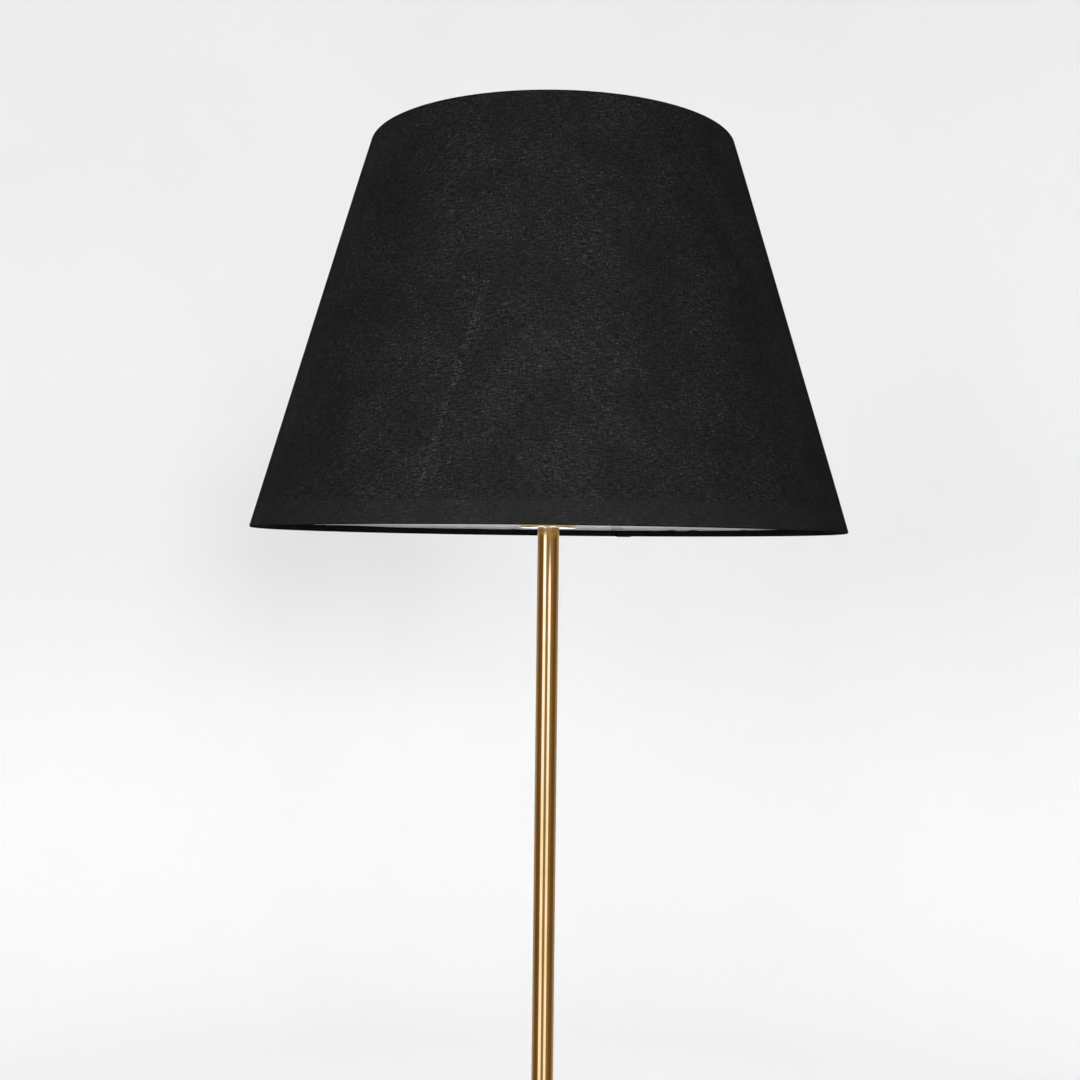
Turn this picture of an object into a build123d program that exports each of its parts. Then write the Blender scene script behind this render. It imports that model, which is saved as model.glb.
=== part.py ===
"""Tripod floor lamp: a slim brass stem on three splayed legs, carrying a tapered fabric shade on a harp.

The origin is on the floor under the stem. +Z is up, +X is to the right and -Y is to the front.
Lengths are in millimetres and angles in degrees. Each piece is one STEP file, named after its node.
"""

import math
import os

from build123d import *

# ---------------------------------------------------------------- driving dimensions

# Gaps: between pieces that never move apart, between pieces that do, and round a turning shaft.
ASSEMBLY_GAP = 0.05
MOVING_GAP = 0.3
RUNNING_GAP = 0.05

# Shade: a cone of fabric on a thin liner, over a wire ring at each end.
SHADE_BOTTOM_Z = 1250.0
SHADE_HEIGHT = 280.0
SHADE_BOTTOM_R = 215.0
SHADE_TOP_R = 132.5
COVER_T = 0.8
LINER_T = 0.8
RING_WIRE_R = 1.5
HEM_HEIGHT = 5.0

# Spider: a washer below the shade's top, with three arms up to the top ring.
SPIDER_DROP = 12.0
SPIDER_WIRE_R = 1.3
SPIDER_WASHER_R = 13.0
SPIDER_WASHER_T = 3.0
SPIDER_HOLE_R = 5.5
SPIDER_NOTCH_GAP = 0.15

# Finial: a ball nut on a stepped neck.
FINIAL_FLANGE_R = 6.5
FINIAL_FLANGE_T = 2.0
FINIAL_NECK_R = 4.2
FINIAL_BALL_R = 8.0
FINIAL_BALL_RISE = 13.5
FINIAL_THREAD_DEPTH = 12.5

# Harp: a bent wire loop over the bulb, with a seat and stud on top and a sleeve round each foot.
HARP_WIRE_R = 1.6
HARP_FOOT_X = 27.5
HARP_FOOT_RISE = 3.5
HARP_WAIST_X = 54.0
HARP_SHOULDER_RISE = 50.0
HARP_WAIST_RISE = 90.0
HARP_CROWN_RISE = 200.0
HARP_TOP_HALF = 24.0
HARP_BENDS = [45.0, 45.0, 60.0, 22.0]
STUD_R = 3.1
STUD_RISE = 14.0
STUD_SEAT_R = 8.0
STUD_SEAT_T = 2.5
STUD_CRIMP_R = 4.5
STUD_CRIMP_HALF = 4.0
SLEEVE_HEIGHT = 14.0
SLEEVE_WALL = 0.8
SLEEVE_CORNER_R = 2.2

# Saddle: a strip bent up at both ends, each with a narrow tab for a harp foot.
SADDLE_T = 1.5
SADDLE_WIDTH = 12.0
SADDLE_HALF_SPAN = 30.8
SADDLE_BEND_R = 1.2
SADDLE_SHOULDER_RISE = 9.0
SADDLE_TAB_RISE = 21.0
SADDLE_TAB_HALF_WIDTH = 2.5

# Stem: two tubes, joined by a hollow threaded nipple inside a pair of plugs.
TUBE_R = 8.0
TUBE_BORE_R = 6.8
STEM_TOP_Z = 1252.5
JOINT_Z = 775.0
JOINT_RING_T = 6.0
JOINT_RING_R = 9.0
JOINT_RING_ROUND = 1.2
PLUG_LENGTH = 18.0
THREAD_R = 5.0
THREAD_BORE_R = 3.75
JOINT_NIPPLE_LENGTH = 34.0
TOP_NIPPLE_LENGTH = 28.0
CAP_DISC_R = 20.6
CAP_DISC_T = 3.0
CAP_DISC_ROUND = 1.0

# Lampholder: a flared cap and a shell, round a moulded body with a threaded shell for the bulb.
HOLDER_R = 16.2
HOLDER_WALL = 0.6
HOLDER_HEIGHT = 54.5
HOLDER_CAP_WALL = 0.9
HOLDER_CAP_NECK_R = 8.0
HOLDER_CAP_NECK_RISE = 5.5
HOLDER_CAP_FLARE_RISE = 14.5
HOLDER_CAP_RISE = 19.5
HOLDER_SHELL_RISE = 15.5
HOLDER_BEAD_R = 1.0
HOLDER_BEAD_DROP = 6.0
HOLDER_BODY_RISE = 16.5
HOLDER_BODY_T = 16.0
INSULATOR_WALL = 0.6
LAMP_THREAD_R = 13.6
LAMP_SHELL_T = 0.6
LAMP_SHELL_DROP = 2.0
CONTACT_T = 0.6
CONTACT_R = 4.0

# Switch: a fluted key on a shaft in the lampholder's front.
KEY_RISE = 26.0
KEY_SHAFT_R = 2.2
KEY_SHAFT_START = 9.0
KEY_BUSHING_R = 4.0
KEY_BUSHING_PROUD = 2.2
KEY_R = 6.5
KEY_LENGTH = 14.0
KEY_ROUND = 1.2
KEY_FLUTES = 12
KEY_FLUTE_R = 1.1

# Bulb: a screw cap, a flared body and a thin globe.
BULB_LENGTH = 107.5
BULB_R = 30.0
BULB_CAP_R = 13.1
BULB_TIP_R = 9.5
BULB_TIP_RISE = 4.5
BULB_COLLAR_R = 14.0
BULB_COLLAR_RISE = 24.0
BULB_SEAM_R = 28.5
BULB_SEAM_RISE = 58.0
GLOBE_WALL = 1.0

# Hub: a collar for the stem on a broad body, with a conical underside that the legs stand square to.
HUB_R = 27.5
HUB_FOOT_R = 11.0
HUB_COLLAR_R = 12.5
HUB_COLLAR_RISE = 35.0
HUB_SHOULDER_RISE = 20.5
HUB_STEM_DEPTH_RISE = 11.0
HUB_EDGE = 1.5
GRUB_R = 2.5
GRUB_DROP = 7.0
GRUB_KEY_R = 1.25

# Legs: tapered rods on threaded studs, each with a ferrule at the hub and a rubber foot.
LEG_FACE_R = 17.5
LEG_FACE_Z = 315.0
LEG_FLOOR_R = 204.0
LEG_TOP_R = 6.5
LEG_END_R = 5.0
LEG_END_GAP = 14.0
LEG_SEAT_R = 8.0
LEG_SEAT_DEPTH = 1.2
LEG_STUD_R = 3.0
LEG_STUD_GRIP = 20.0
LEG_HOLE_DEPTH = 11.0
FERRULE_R = 7.5
FERRULE_T = 5.0
FERRULE_ROUND = 0.8
FOOT_R = 8.5
FOOT_GRIP = 18.0
FOOT_LIP = 1.2
FOOT_TAPER = 6.0

# Cord outlet under the hub, and the lead inside the stem.
BASE_WASHER_R = 10.0
BASE_WASHER_T = 1.5
BASE_NUT_R = 8.4
BASE_NUT_T = 5.0
OUTLET_BORE_R = 3.25
OUTLET_R = 7.5
OUTLET_NOSE_R = 5.4
OUTLET_NOSE_LENGTH = 5.0
OUTLET_LENGTH = 14.0
OUTLET_GRIP = 8.0
OUTLET_ROUND = 0.8
LEAD_R = 3.0
LEAD_TOP_RISE = 11.0
CORE_R = 1.0
CORE_X = 1.6

# ---------------------------------------------------------------- derived places

SHADE_TOP_Z = SHADE_BOTTOM_Z + SHADE_HEIGHT
SHADE_SLOPE = (SHADE_BOTTOM_R - SHADE_TOP_R) / SHADE_HEIGHT
SHADE_COS = math.cos(math.atan(SHADE_SLOPE))
LINER_DEPTH = COVER_T + ASSEMBLY_GAP
RING_DEPTH = LINER_DEPTH + LINER_T + ASSEMBLY_GAP + RING_WIRE_R
HEM_DEPTH = RING_DEPTH + RING_WIRE_R + 2 * ASSEMBLY_GAP

SPIDER_Z = SHADE_TOP_Z - SPIDER_DROP - SPIDER_WASHER_T
STUD_SEAT_Z = SPIDER_Z - MOVING_GAP
HARP_TOP_Z = STUD_SEAT_Z - STUD_SEAT_T - STUD_CRIMP_HALF

SADDLE_Z = STEM_TOP_Z + CAP_DISC_T
HOLDER_Z = SADDLE_Z + SADDLE_T
HOLDER_TOP_Z = HOLDER_Z + HOLDER_HEIGHT
HOLDER_FLOOR_Z = HOLDER_Z + HOLDER_BODY_RISE + HOLDER_BODY_T
INSULATOR_R = HOLDER_R - HOLDER_WALL - ASSEMBLY_GAP
HOLDER_BODY_R = INSULATOR_R - INSULATOR_WALL - ASSEMBLY_GAP
KEY_Z = HOLDER_Z + KEY_RISE
KEY_BUSHING_Y = HOLDER_R + KEY_BUSHING_PROUD
KEY_Y = KEY_BUSHING_Y + MOVING_GAP

BULB_Z = HOLDER_FLOOR_Z + 2 * CONTACT_T + MOVING_GAP
BULB_COLLAR_Z = BULB_Z + BULB_COLLAR_RISE
BULB_SEAM_Z = BULB_Z + BULB_SEAM_RISE
BULB_DOME_Z = BULB_Z + BULB_LENGTH - BULB_R

LEG_SPLAY = math.degrees(math.atan((LEG_FLOOR_R - LEG_FACE_R) / LEG_FACE_Z))
LEG_LENGTH = LEG_FACE_Z / math.cos(math.radians(LEG_SPLAY))
LEG_END = LEG_LENGTH - LEG_END_GAP
LEG_AZIMUTHS = {"back": 90.0, "left": 210.0, "right": 330.0}

HUB_COLLAR_TOP_Z = LEG_FACE_Z + HUB_COLLAR_RISE
HUB_SHOULDER_Z = LEG_FACE_Z + HUB_SHOULDER_RISE
GRUB_Z = HUB_COLLAR_TOP_Z - GRUB_DROP


def hub_cone_z(r):
    """Height of the hub's conical underside at a radius, just below the leg seats cut into it."""
    return LEG_FACE_Z - LEG_SEAT_DEPTH + (r - LEG_FACE_R) * math.tan(math.radians(LEG_SPLAY))


HUB_BOTTOM_Z = hub_cone_z(HUB_FOOT_R)
HUB_SEAT_Z = HUB_BOTTOM_Z + HUB_STEM_DEPTH_RISE
OUTLET_TOP_Z = HUB_BOTTOM_Z - BASE_WASHER_T - BASE_NUT_T - ASSEMBLY_GAP
LEAD_TOP_Z = HOLDER_Z + LEAD_TOP_RISE


def ring_z(end):
    """Height of a shade ring's wire centre, at the "bottom" or the "top"."""
    inset = COVER_T + ASSEMBLY_GAP + RING_WIRE_R
    return SHADE_BOTTOM_Z + inset if end == "bottom" else SHADE_TOP_Z - inset


# ---------------------------------------------------------------- shape helpers


def lathe(profile):
    """Solid of revolution about Z from a closed outline of (radius, height) points."""
    outline = Polyline(*[(r, 0, z) for r, z in profile], close=True)
    return revolve(make_face(outline), Axis.Z)


def rod(radius, z_low, z_high):
    """Solid cylinder on the Z axis between two heights."""
    return Pos(0, 0, (z_low + z_high) / 2) * Cylinder(radius, z_high - z_low)


def tube(radius, bore, z_low, z_high):
    """Hollow cylinder on the Z axis between two heights."""
    return rod(radius, z_low, z_high) - rod(bore, z_low, z_high)


def rod_to_front(radius, y_near, y_far, z):
    """Solid cylinder that points to the front, between two distances from the Z axis."""
    return Pos(0, -(y_near + y_far) / 2, z) * Rot(90, 0, 0) * Cylinder(radius, y_far - y_near)


def round_outer_rims(shape, radius):
    """Rounds the two outermost circular edges of a turned piece."""
    rims = shape.edges().filter_by(GeomType.CIRCLE).group_by(SortBy.RADIUS)[-1]
    return fillet(rims, radius)


def wire(points, wire_radius, bends=None):
    """Round wire along straight runs, with its corners bent to the given radii."""
    path = FilletPolyline(*points, radius=bends) if bends else Line(*points)
    section = Plane(origin=path @ 0, z_dir=path % 0) * Circle(wire_radius)
    return sweep(section, path=path)


def on_leg(shape, azimuth):
    """Moves a shape from the Z axis to a leg's axis. Zero is the leg's seat, and the foot is below it."""
    return Rot(0, 0, azimuth) * Pos(LEG_FACE_R, 0, LEG_FACE_Z) * Rot(0, -LEG_SPLAY, 0) * shape


def on_all_legs(shape):
    """One copy of a shape on each leg's axis, as separate solids."""
    return Compound([on_leg(shape, azimuth) for azimuth in LEG_AZIMUTHS.values()])


# ---------------------------------------------------------------- shade


def shade_point(z, depth):
    """Outline point of the shade's section, at a height and at a depth below the cone's outer face."""
    outer_r = SHADE_BOTTOM_R - SHADE_SLOPE * (z - SHADE_BOTTOM_Z)
    return (outer_r - depth / SHADE_COS, z)


def ring_r(end):
    """Radius of a shade ring's wire centre."""
    return shade_point(ring_z(end), RING_DEPTH)[0]


def shade_cover():
    """Fabric cone, folded round both rings into a narrow hem, with a notch for each spider arm."""
    low, high = SHADE_BOTTOM_Z, SHADE_TOP_Z
    hem_back = HEM_DEPTH + COVER_T
    cover = lathe(
        [
            shade_point(low, 0),
            shade_point(high, 0),
            shade_point(high, hem_back),
            shade_point(high - HEM_HEIGHT, hem_back),
            shade_point(high - HEM_HEIGHT, HEM_DEPTH),
            shade_point(high - COVER_T, HEM_DEPTH),
            shade_point(high - COVER_T, COVER_T),
            shade_point(low + COVER_T, COVER_T),
            shade_point(low + COVER_T, HEM_DEPTH),
            shade_point(low + HEM_HEIGHT, HEM_DEPTH),
            shade_point(low + HEM_HEIGHT, hem_back),
            shade_point(low, hem_back),
        ]
    )
    for azimuth in LEG_AZIMUTHS.values():
        cover -= spider_arm(azimuth, SPIDER_WIRE_R + SPIDER_NOTCH_GAP)
    return cover


def shade_liner():
    """Thin stiff cone inside the fabric, between the folds of the two hems."""
    inset = COVER_T + 2 * ASSEMBLY_GAP
    low, high = SHADE_BOTTOM_Z + inset, SHADE_TOP_Z - inset
    outer, inner = LINER_DEPTH, LINER_DEPTH + LINER_T
    corners = [(low, outer), (high, outer), (high, inner), (low, inner)]
    return lathe([shade_point(z, depth) for z, depth in corners])


def shade_ring(end):
    """Wire ring inside the hem at one end of the shade."""
    return Pos(0, 0, ring_z(end)) * Torus(ring_r(end), RING_WIRE_R)


def spider_arm(azimuth, radius):
    """Straight wire from the spider's washer to the top ring's centre line, at a given thickness."""
    start = (SPIDER_WASHER_R - SPIDER_WIRE_R, 0, SPIDER_Z + SPIDER_WASHER_T / 2)
    end = (ring_r("top"), 0, ring_z("top"))
    return Rot(0, 0, azimuth) * wire([start, end], radius)


def shade_washer():
    """Washer that the shade hangs from, over the harp's stud."""
    return tube(SPIDER_WASHER_R, SPIDER_HOLE_R, SPIDER_Z, SPIDER_Z + SPIDER_WASHER_T)


def shade_arms():
    """The spider's three arms, which end against the washer and the top ring."""
    arms = [spider_arm(azimuth, SPIDER_WIRE_R) for azimuth in LEG_AZIMUTHS.values()]
    washer = rod(SPIDER_WASHER_R, SPIDER_Z, SPIDER_Z + SPIDER_WASHER_T)
    return Compound([arm - washer - shade_ring("top") for arm in arms])


# ---------------------------------------------------------------- finial, harp and saddle


def finial():
    """Turned ball nut that holds the shade down on the harp's stud."""
    base = SPIDER_Z + SPIDER_WASHER_T + MOVING_GAP
    flange_top, ball_z = base + FINIAL_FLANGE_T, base + FINIAL_BALL_RISE
    neck = lathe(
        [
            (0, base),
            (FINIAL_FLANGE_R, base),
            (FINIAL_FLANGE_R, flange_top),
            (FINIAL_NECK_R, flange_top + FINIAL_FLANGE_R - FINIAL_NECK_R),
            (FINIAL_NECK_R, ball_z),
            (0, ball_z),
        ]
    )
    ball = Pos(0, 0, ball_z) * Sphere(FINIAL_BALL_R)
    return neck + ball - rod(STUD_R + RUNNING_GAP, base - 1, base + FINIAL_THREAD_DEPTH)


def harp():
    """Bent wire loop, from one foot over the top to the other."""
    foot_z = HOLDER_Z + HARP_FOOT_RISE
    right = [
        (HARP_FOOT_X, 0, foot_z),
        (HARP_FOOT_X, 0, foot_z + HARP_SHOULDER_RISE),
        (HARP_WAIST_X, 0, foot_z + HARP_WAIST_RISE),
        (HARP_WAIST_X, 0, foot_z + HARP_CROWN_RISE),
        (HARP_TOP_HALF, 0, HARP_TOP_Z),
    ]
    left = [(-x, y, z) for x, y, z in reversed(right)]
    return wire(right + left, HARP_WIRE_R, HARP_BENDS + HARP_BENDS[::-1])


def harp_stud():
    """Seat and threaded stud, crimped on the top of the loop."""
    stud = lathe(
        [
            (0, HARP_TOP_Z - STUD_CRIMP_HALF),
            (STUD_CRIMP_R, HARP_TOP_Z - STUD_CRIMP_HALF),
            (STUD_CRIMP_R, HARP_TOP_Z + STUD_CRIMP_HALF),
            (STUD_SEAT_R, HARP_TOP_Z + STUD_CRIMP_HALF),
            (STUD_SEAT_R, STUD_SEAT_Z),
            (STUD_R, STUD_SEAT_Z),
            (STUD_R, STUD_SEAT_Z + STUD_RISE),
            (0, STUD_SEAT_Z + STUD_RISE),
        ]
    )
    hole = Cylinder(HARP_WIRE_R + ASSEMBLY_GAP, 2 * STUD_SEAT_R)
    return stud - Pos(0, 0, HARP_TOP_Z) * Rot(0, 90, 0) * hole


def harp_saddle():
    """Strip under the lampholder, bent up at both ends, with a narrow tab for each harp foot."""
    strip = Box(2 * SADDLE_HALF_SPAN, SADDLE_WIDTH, SADDLE_T, align=(Align.CENTER, Align.CENTER, Align.MIN))
    saddle = Pos(0, 0, SADDLE_Z) * strip - rod(THREAD_R + ASSEMBLY_GAP, SADDLE_Z - 1, HOLDER_Z + 1)
    uprights = [(SADDLE_WIDTH, SADDLE_SHOULDER_RISE), (2 * SADDLE_TAB_HALF_WIDTH, SADDLE_TAB_RISE)]
    for side in (-1, 1):
        x = side * (SADDLE_HALF_SPAN - SADDLE_T / 2)
        for width, height in uprights:
            saddle += Pos(x, 0, SADDLE_Z + height / 2) * Box(SADDLE_T, width, height)
    outer_bends = saddle.edges().filter_by(Axis.Y).group_by(Axis.Z)[0]
    return fillet(outer_bends, SADDLE_BEND_R)


def harp_sleeve(side):
    """Flattened tube that locks a harp foot to its tab, on the left (-1) or the right (1)."""
    inner_x = HARP_FOOT_X - HARP_WIRE_R - MOVING_GAP
    outer_x = SADDLE_HALF_SPAN + MOVING_GAP
    width, depth = outer_x - inner_x, 2 * (SADDLE_TAB_HALF_WIDTH + MOVING_GAP)
    outside = Box(width + 2 * SLEEVE_WALL, depth + 2 * SLEEVE_WALL, SLEEVE_HEIGHT)
    outside = fillet(outside.edges().filter_by(Axis.Z), SLEEVE_CORNER_R)
    middle = SADDLE_Z + SADDLE_SHOULDER_RISE + MOVING_GAP + SLEEVE_HEIGHT / 2
    return Pos(side * (inner_x + outer_x) / 2, 0, middle) * (outside - Box(width, depth, SLEEVE_HEIGHT + 2))


# ---------------------------------------------------------------- stem


def stem_cap_disc():
    """Flat disc on top of the stem, with a softly rounded rim."""
    disc = tube(CAP_DISC_R, THREAD_R + ASSEMBLY_GAP, STEM_TOP_Z, SADDLE_Z)
    return round_outer_rims(disc, CAP_DISC_ROUND)


def stem_upper_tube():
    """Upper stem tube."""
    return tube(TUBE_R, TUBE_BORE_R, JOINT_Z + JOINT_RING_T / 2, STEM_TOP_Z)


def stem_lower_tube():
    """Lower stem tube, which stands in the hub."""
    return tube(TUBE_R, TUBE_BORE_R, HUB_SEAT_Z, JOINT_Z - JOINT_RING_T / 2)


def stem_joint_ring():
    """Turned ring between the two stem tubes."""
    ring = tube(JOINT_RING_R, THREAD_R, JOINT_Z - JOINT_RING_T / 2, JOINT_Z + JOINT_RING_T / 2)
    return round_outer_rims(ring, JOINT_RING_ROUND)


def plug(z_low):
    """Threaded plug inside the end of a stem tube."""
    return tube(TUBE_BORE_R - ASSEMBLY_GAP, THREAD_R, z_low, z_low + PLUG_LENGTH)


def nipple(z_low, length):
    """Hollow threaded nipple, through which the lead runs."""
    return tube(THREAD_R - ASSEMBLY_GAP, THREAD_BORE_R, z_low, z_low + length)


# ---------------------------------------------------------------- hub, legs and feet


def hub():
    """Turned hub, with a socket for the stem, a seat and a threaded hole for each leg, and a grub hole."""
    body = lathe(
        [
            (0, HUB_BOTTOM_Z),
            (HUB_FOOT_R, HUB_BOTTOM_Z),
            (HUB_R, hub_cone_z(HUB_R)),
            (HUB_R, HUB_SHOULDER_Z - 2 * HUB_EDGE),
            (HUB_R - 2 * HUB_EDGE, HUB_SHOULDER_Z),
            (HUB_COLLAR_R + HUB_EDGE, HUB_SHOULDER_Z),
            (HUB_COLLAR_R, HUB_SHOULDER_Z + HUB_EDGE),
            (HUB_COLLAR_R, HUB_COLLAR_TOP_Z - HUB_EDGE),
            (HUB_COLLAR_R - HUB_EDGE, HUB_COLLAR_TOP_Z),
            (0, HUB_COLLAR_TOP_Z),
        ]
    )
    body -= rod(TUBE_R + ASSEMBLY_GAP, HUB_SEAT_Z, HUB_COLLAR_TOP_Z + 1)
    body -= rod(THREAD_R, HUB_BOTTOM_Z - 1, HUB_SEAT_Z + 1)
    leg_seat = rod(LEG_SEAT_R, -2 * LEG_SEAT_DEPTH, 0)
    leg_hole = rod(LEG_STUD_R + ASSEMBLY_GAP, -1, LEG_HOLE_DEPTH)
    for azimuth in LEG_AZIMUTHS.values():
        body -= on_leg(leg_seat + leg_hole, azimuth)
    grub_hole = Cylinder(GRUB_R + ASSEMBLY_GAP, HUB_COLLAR_R - TUBE_R + 2)
    return body - Pos(0, (TUBE_R + HUB_COLLAR_R) / 2, GRUB_Z) * Rot(90, 0, 0) * grub_hole


def hub_grub_screw():
    """Socket grub screw at the back of the collar, which grips the stem."""
    near, far = TUBE_R + ASSEMBLY_GAP, HUB_COLLAR_R - HUB_EDGE / 3
    screw = Pos(0, (near + far) / 2, GRUB_Z) * Rot(90, 0, 0) * Cylinder(GRUB_R, far - near)
    key_socket = extrude(RegularPolygon(GRUB_KEY_R, 6), (far - near) / 2, both=True)
    return screw - Pos(0, far, GRUB_Z) * Rot(90, 0, 0) * key_socket


def leg_radius(distance):
    """Radius of a leg at a distance down its axis from the seat."""
    share = (distance - FERRULE_T) / (LEG_END - FERRULE_T)
    return LEG_TOP_R + share * (LEG_END_R - LEG_TOP_R)


def leg(azimuth):
    """Tapered solid leg, with a threaded hole in its top."""
    shank = lathe([(0, -LEG_END), (LEG_END_R, -LEG_END), (LEG_TOP_R, -FERRULE_T), (0, -FERRULE_T)])
    hole_end = -FERRULE_T - LEG_STUD_GRIP - 1
    return on_leg(shank - rod(LEG_STUD_R + ASSEMBLY_GAP, hole_end, 0), azimuth)


def leg_ferrules():
    """Turned rings between the hub and the legs."""
    ring = tube(FERRULE_R, LEG_STUD_R + ASSEMBLY_GAP, -FERRULE_T, 0)
    return on_all_legs(round_outer_rims(ring, FERRULE_ROUND))


def leg_studs():
    """Threaded studs that screw the legs to the hub."""
    return on_all_legs(rod(LEG_STUD_R, -FERRULE_T - LEG_STUD_GRIP, LEG_HOLE_DEPTH - 1))


def foot(azimuth):
    """Rubber tip on a leg's end, cut flat on the floor."""
    top, past_floor = LEG_END - FOOT_GRIP, LEG_LENGTH + 2 * FOOT_R
    grip_r = leg_radius(top)
    outside = [
        (0, -past_floor),
        (FOOT_R, -past_floor),
        (FOOT_R, -top - FOOT_TAPER),
        (grip_r + FOOT_LIP, -top),
        (0, -top),
    ]
    bore = [
        (0, -LEG_END),
        (LEG_END_R + ASSEMBLY_GAP, -LEG_END),
        (grip_r + ASSEMBLY_GAP, -top),
        (0, -top),
    ]
    tip = on_leg(lathe(outside) - lathe(bore), azimuth)
    reach = 4 * LEG_FLOOR_R
    return tip - Box(reach, reach, reach, align=(Align.CENTER, Align.CENTER, Align.MAX))


# ---------------------------------------------------------------- cord outlet and inner lead


def base_washer():
    """Washer under the hub."""
    return tube(BASE_WASHER_R, THREAD_R + ASSEMBLY_GAP, HUB_BOTTOM_Z - BASE_WASHER_T, HUB_BOTTOM_Z)


def base_nut():
    """Hexagon nut that pulls the stem down into the hub."""
    low = HUB_BOTTOM_Z - BASE_WASHER_T - BASE_NUT_T
    blank = Pos(0, 0, low) * extrude(RegularPolygon(BASE_NUT_R, 6), BASE_NUT_T)
    return blank - rod(THREAD_R, low - 1, low + BASE_NUT_T + 1)


def cord_outlet():
    """Bush on the lower end of the base nipple, through which the cord leaves."""
    low, grip_z = OUTLET_TOP_Z - OUTLET_LENGTH, OUTLET_TOP_Z - OUTLET_GRIP
    bush = lathe(
        [
            (OUTLET_BORE_R, low),
            (OUTLET_NOSE_R, low),
            (OUTLET_R, low + OUTLET_NOSE_LENGTH),
            (OUTLET_R, OUTLET_TOP_Z),
            (THREAD_R, OUTLET_TOP_Z),
            (THREAD_R, grip_z),
            (OUTLET_BORE_R, grip_z),
        ]
    )
    nose_rim = bush.edges().filter_by(GeomType.CIRCLE).group_by(Axis.Z)[0].sort_by(SortBy.RADIUS)[-1]
    return fillet(nose_rim, OUTLET_ROUND)


def base_nipple():
    """Hollow nipple from the stem's lowest plug down into the cord outlet."""
    low = OUTLET_TOP_Z - OUTLET_GRIP + MOVING_GAP
    return nipple(low, HUB_SEAT_Z + PLUG_LENGTH - low)


def inner_lead():
    """Lead inside the stem, from above the outlet's bore to the lampholder."""
    return rod(LEAD_R, OUTLET_TOP_Z - OUTLET_GRIP / 2, LEAD_TOP_Z)


def lead_cores():
    """The lead's two cores, from its stripped end to the lampholder's body."""
    core = rod(CORE_R, LEAD_TOP_Z, HOLDER_Z + HOLDER_BODY_RISE)
    return Compound([Pos(x, 0, 0) * core for x in (-CORE_X, CORE_X)])


# ---------------------------------------------------------------- lampholder and switch


def holder_cap():
    """Flared cap of the lampholder, screwed down to the saddle on the stem's top nipple."""
    neck_z, flare_z = HOLDER_Z + HOLDER_CAP_NECK_RISE, HOLDER_Z + HOLDER_CAP_FLARE_RISE
    rim_z, inner_rim_r = HOLDER_Z + HOLDER_CAP_RISE, HOLDER_R + ASSEMBLY_GAP
    return lathe(
        [
            (THREAD_R, HOLDER_Z),
            (HOLDER_CAP_NECK_R, HOLDER_Z),
            (HOLDER_CAP_NECK_R, neck_z),
            (inner_rim_r + HOLDER_CAP_WALL, flare_z),
            (inner_rim_r + HOLDER_CAP_WALL, rim_z),
            (inner_rim_r, rim_z),
            (inner_rim_r, flare_z + HOLDER_CAP_WALL / 2),
            (HOLDER_CAP_NECK_R - HOLDER_CAP_WALL / 2, neck_z + HOLDER_CAP_WALL),
            (THREAD_R, neck_z + HOLDER_CAP_WALL),
        ]
    )


def key_hole():
    """Cutter for the hole that the switch's bushing passes through."""
    return rod_to_front(KEY_BUSHING_R + ASSEMBLY_GAP, HOLDER_BODY_R - 1, KEY_BUSHING_Y, KEY_Z)


def shaft_hole():
    """Cutter for the hole that the switch's shaft turns in."""
    return rod_to_front(KEY_SHAFT_R + RUNNING_GAP, KEY_SHAFT_START - 1, KEY_BUSHING_Y + 1, KEY_Z)


def holder_shell():
    """Shell with a rolled bead near its mouth and a hole for the switch."""
    low, inner_r = HOLDER_Z + HOLDER_SHELL_RISE, HOLDER_R - HOLDER_WALL
    bead = Pos(0, 0, HOLDER_TOP_Z - HOLDER_BEAD_DROP) * Torus(inner_r + HOLDER_WALL / 2, HOLDER_BEAD_R)
    return rod(HOLDER_R, low, HOLDER_TOP_Z) + bead - rod(inner_r, low - 1, HOLDER_TOP_Z + 1) - key_hole()


def holder_insulator():
    """Insulating sleeve inside the shell."""
    inner_r = INSULATOR_R - INSULATOR_WALL
    return tube(INSULATOR_R, inner_r, HOLDER_Z + HOLDER_BODY_RISE, HOLDER_TOP_Z - 1) - key_hole()


def holder_body():
    """Moulded body that carries the contacts and the switch."""
    return rod(HOLDER_BODY_R, HOLDER_Z + HOLDER_BODY_RISE, HOLDER_FLOOR_Z) - shaft_hole()


def holder_screw_shell():
    """Threaded shell that takes the bulb's cap, open in the middle of its floor for the contact."""
    outer_r = LAMP_THREAD_R + LAMP_SHELL_T
    wall = tube(outer_r, LAMP_THREAD_R, HOLDER_FLOOR_Z, HOLDER_TOP_Z - LAMP_SHELL_DROP)
    return wall + tube(outer_r, 1.5 * CONTACT_R, HOLDER_FLOOR_Z, HOLDER_FLOOR_Z + LAMP_SHELL_T)


def holder_contact():
    """Sprung centre contact on a rivet."""
    rivet_top = HOLDER_FLOOR_Z + CONTACT_T
    return rod(CONTACT_R / 2, HOLDER_FLOOR_Z, rivet_top) + rod(CONTACT_R, rivet_top, rivet_top + CONTACT_T)


def switch_bushing():
    """Threaded bushing round the key's shaft."""
    start = HOLDER_BODY_R + MOVING_GAP
    return rod_to_front(KEY_BUSHING_R, start, KEY_BUSHING_Y, KEY_Z) - shaft_hole()


def switch_shaft():
    """Shaft of the switch, from inside the body into the key."""
    return rod_to_front(KEY_SHAFT_R, KEY_SHAFT_START, KEY_Y + 0.7 * KEY_LENGTH, KEY_Z)


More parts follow.
